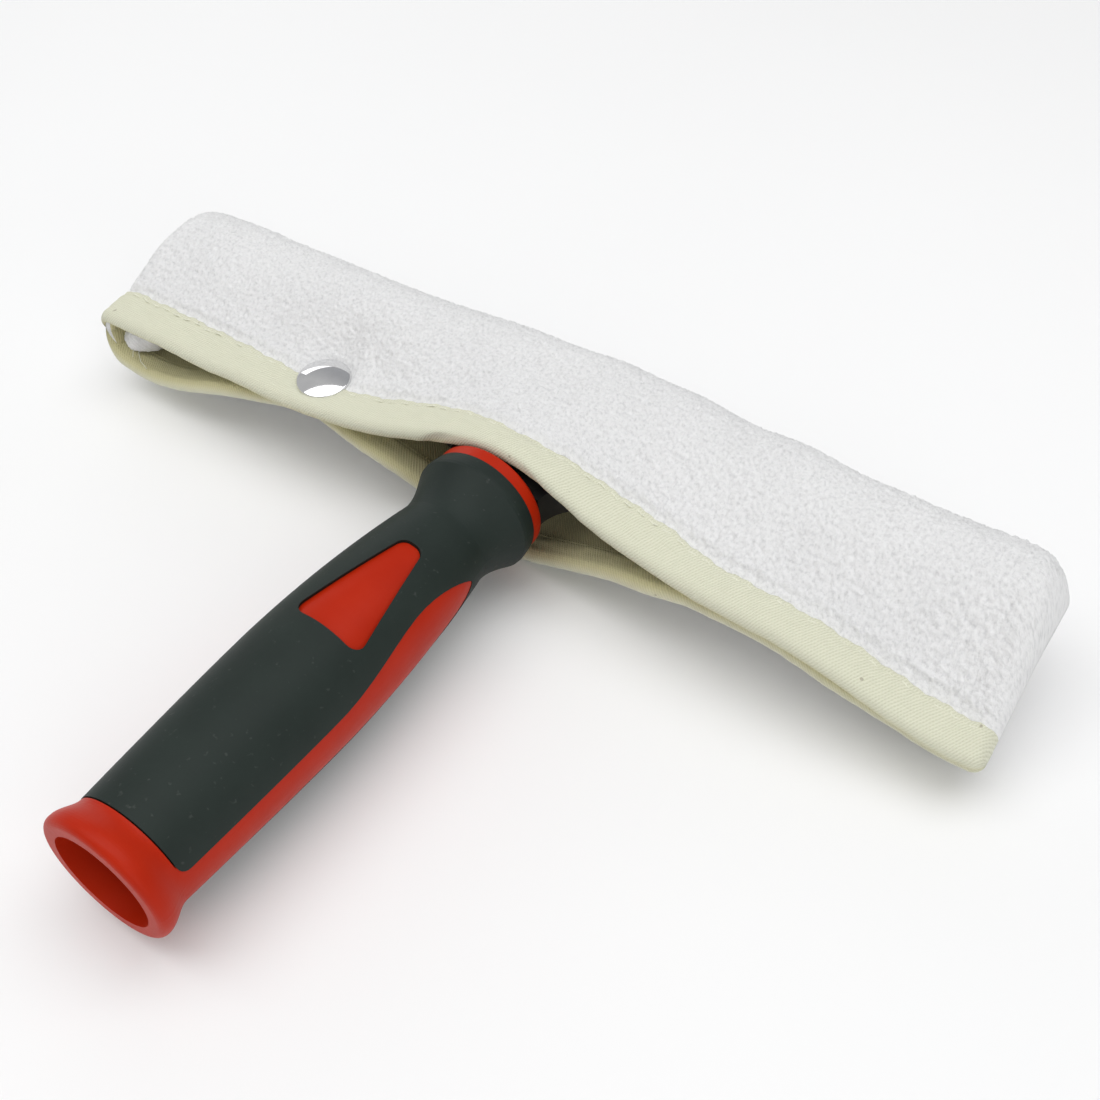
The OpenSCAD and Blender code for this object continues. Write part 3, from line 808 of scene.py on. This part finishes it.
# ------------------------------------------------------------------ inside the open end
# The end seam's pile is turned in and shows as a soft roll in the mouth.
def roll(name, centre, radii, seed, turn):
    """A lumpy pillow of pile, in millimetres."""
    n_a, n_b = 56, 36
    a = np.linspace(0, 2 * np.pi, n_a, endpoint=False)[None, :]
    b = np.linspace(-np.pi / 2, np.pi / 2, n_b + 2)[1:-1][:, None]
    fat = 1 + 0.10 * np.sin(3 * a + seed) * np.cos(b) + 0.06 * np.sin(5 * b + 2 * a)
    fat = fat + 0.035 * rng.uniform(-1, 1, fat.shape)
    p = np.stack([radii[0] * fat * np.cos(b) * np.cos(a), radii[1] * fat * np.cos(b) * np.sin(a),
                  radii[2] * fat * np.sin(b) * np.ones_like(a)], -1)
    c, si = math.cos(math.radians(turn)), math.sin(math.radians(turn))
    p = np.stack([p[..., 0], c * p[..., 1] - si * p[..., 2], si * p[..., 1] + c * p[..., 2]], -1)
    pts = ((p + np.array(centre)) * MM).reshape(-1, 3).tolist()
    faces = []
    for i in range(n_b - 1):
        for k in range(n_a):
            u, v = i * n_a + k, i * n_a + (k + 1) % n_a
            faces.append((u, v, v + n_a, u + n_a))
    faces.append(tuple(range(n_a))[::-1])
    faces.append(tuple((n_b - 1) * n_a + k for k in range(n_a)))
    uv = [(q[0] + q[2] * 0.7, q[1] + q[2] * 0.5) for q in pts]
    return mesh_object(name, pts, faces, uv)


allowance = roll("left_seam_allowance", (X_LEFT + 8.0, 134.6, -4.4), (6.2, 5.6, 4.6), 1.3, 12)
paint(allowance, PILE)
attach(allowance, "sleeve")


def loose_thread(points, name):
    """A thin round thread through the points, in millimetres."""
    pts, faces, ring = [], [], 6
    p = np.array(points, float)
    t = np.linspace(0, len(p) - 1, 26)
    k = np.clip(t.astype(int), 0, len(p) - 2)
    f = smooth(t - k)[:, None]
    line = p[k] * (1 - f) + p[k + 1] * f
    for i, q in enumerate(line):
        d = line[min(i + 1, len(line) - 1)] - line[max(i - 1, 0)]
        d /= np.linalg.norm(d)
        u = np.cross(d, (0.3, 0.2, 1.0))
        u /= np.linalg.norm(u)
        v = np.cross(d, u)
        for j in range(ring):
            a = 2 * math.pi * j / ring
            pts.append(tuple((q + LOOSE_R * (math.cos(a) * u + math.sin(a) * v)) * MM))
    for i in range(len(line) - 1):
        for j in range(ring):
            a, b = i * ring + j, i * ring + (j + 1) % ring
            faces.append((a, b, b + ring, a + ring))
    faces.append(tuple(range(ring))[::-1])
    faces.append(tuple((len(line) - 1) * ring + j for j in range(ring)))
    o = mesh_object(name, pts, faces)
    paint(o, THREAD)
    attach(o, "sleeve")
    return o


lip = skin_point(X_LEFT + 9.0, 0.0)
loose_thread(
    [(X_LEFT + 7, lip[0] + 3.0, lip[1] + 3.6), (X_LEFT + 9.5, lip[0] + 1.0, lip[1] + 4.0),
     (X_LEFT + 12, lip[0] - 0.8, lip[1] + 3.9), (X_LEFT + 15, lip[0] - 1.6, lip[1] + 3.2)],
    "loose_thread_a",
)
loose_thread(
    [(X_LEFT + 6.5, lip[0] + 2.5, lip[1] + 4.6), (X_LEFT + 8.0, lip[0] + 0.4, lip[1] + 5.2),
     (X_LEFT + 9.2, lip[0] - 1.0, lip[1] + 4.6)],
    "loose_thread_b",
)

# ------------------------------------------------------------------ floor, light and camera
floor_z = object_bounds()[0][2] - 0.0002
bpy.ops.mesh.primitive_plane_add(size=6, location=(0, 0.1, floor_z))
floor = bpy.context.object
floor.name = "floor"
fm = Nodes("floor")
fv = fm.local()
fcol = fm.ramp(fm.noise(fv, 3, 2, 0.5), [(0.3, (0.90, 0.90, 0.90)), (0.7, (0.92, 0.92, 0.92))])
fm.set(Base__Color=fcol, Roughness=0.9, Specular__IOR__Level=0.1)
floor.data.materials.append(fm.mat)

world = bpy.data.worlds.new("studio")
world.use_nodes = True
wt = world.node_tree
wt.nodes["Background"].inputs["Strength"].default_value = 0.5
direction = wt.nodes.new("ShaderNodeTexCoord")
axes = wt.nodes.new("ShaderNodeSeparateXYZ")
tone = wt.nodes.new("ShaderNodeValToRGB")
tone.color_ramp.elements[0].position = 0.20
tone.color_ramp.elements[0].color = (1, 1, 1, 1)
tone.color_ramp.elements[1].position = 0.62
tone.color_ramp.elements[1].color = (0.72, 0.73, 0.75, 1)
wt.links.new(direction.outputs["Generated"], axes.inputs[0])
wt.links.new(axes.outputs["Y"], tone.inputs["Fac"])
wt.links.new(tone.outputs["Color"], wt.nodes["Background"].inputs["Color"])
scene.world = world


def area_light(name, at, target, size, power):
    data = bpy.data.lights.new(name, "AREA")
    data.shape = "RECTANGLE"
    data.size, data.size_y = size
    data.energy = power
    o = bpy.data.objects.new(name, data)
    o.location = at
    o.rotation_euler = (Vector(target) - Vector(at)).to_track_quat("-Z", "Y").to_euler()
    scene.collection.objects.link(o)
    return o


area_light("fill", (0.9, -0.45, 0.55), (0, 0.1, 0), (0.8, 0.8), 2.0)
area_light("back", (-0.75, 0.75, 0.35), (0, 0.1, 0), (0.7, 0.3), 1.0)
key = area_light("key", (-0.02, 0.06, 1.0), (-0.02, 0.06, 0), (1.7, 0.75), 8.2)
key.rotation_euler = (0, 0, math.radians(35.5))

AZ, EL, ROLL, DIST, TX, TY, LENS = 35.5, 46.6, -1.5, 0.275, 0.0893, 0.0662, 45.22
az, el, roll = (math.radians(v) for v in (AZ, EL, ROLL))
back = Vector((math.sin(az) * math.cos(el), -math.cos(az) * math.cos(el), math.sin(el)))
right0 = Vector((math.cos(az), math.sin(az), 0))
up0 = back.cross(right0)
right = right0 * math.cos(roll) + up0 * math.sin(roll)
up = up0 * math.cos(roll) - right0 * math.sin(roll)
cam_data = bpy.data.cameras.new("camera")
cam_data.lens = LENS
cam_data.sensor_width = 36
cam_data.clip_start = 0.01
camera = bpy.data.objects.new("camera", cam_data)
m = Matrix((right, up, back)).transposed().to_4x4()
m.translation = right * TX + up * TY + back * DIST
camera.matrix_world = m
scene.collection.objects.link(camera)
scene.camera = camera
scene.view_settings.view_transform = "Standard"
scene.view_settings.look = "None"
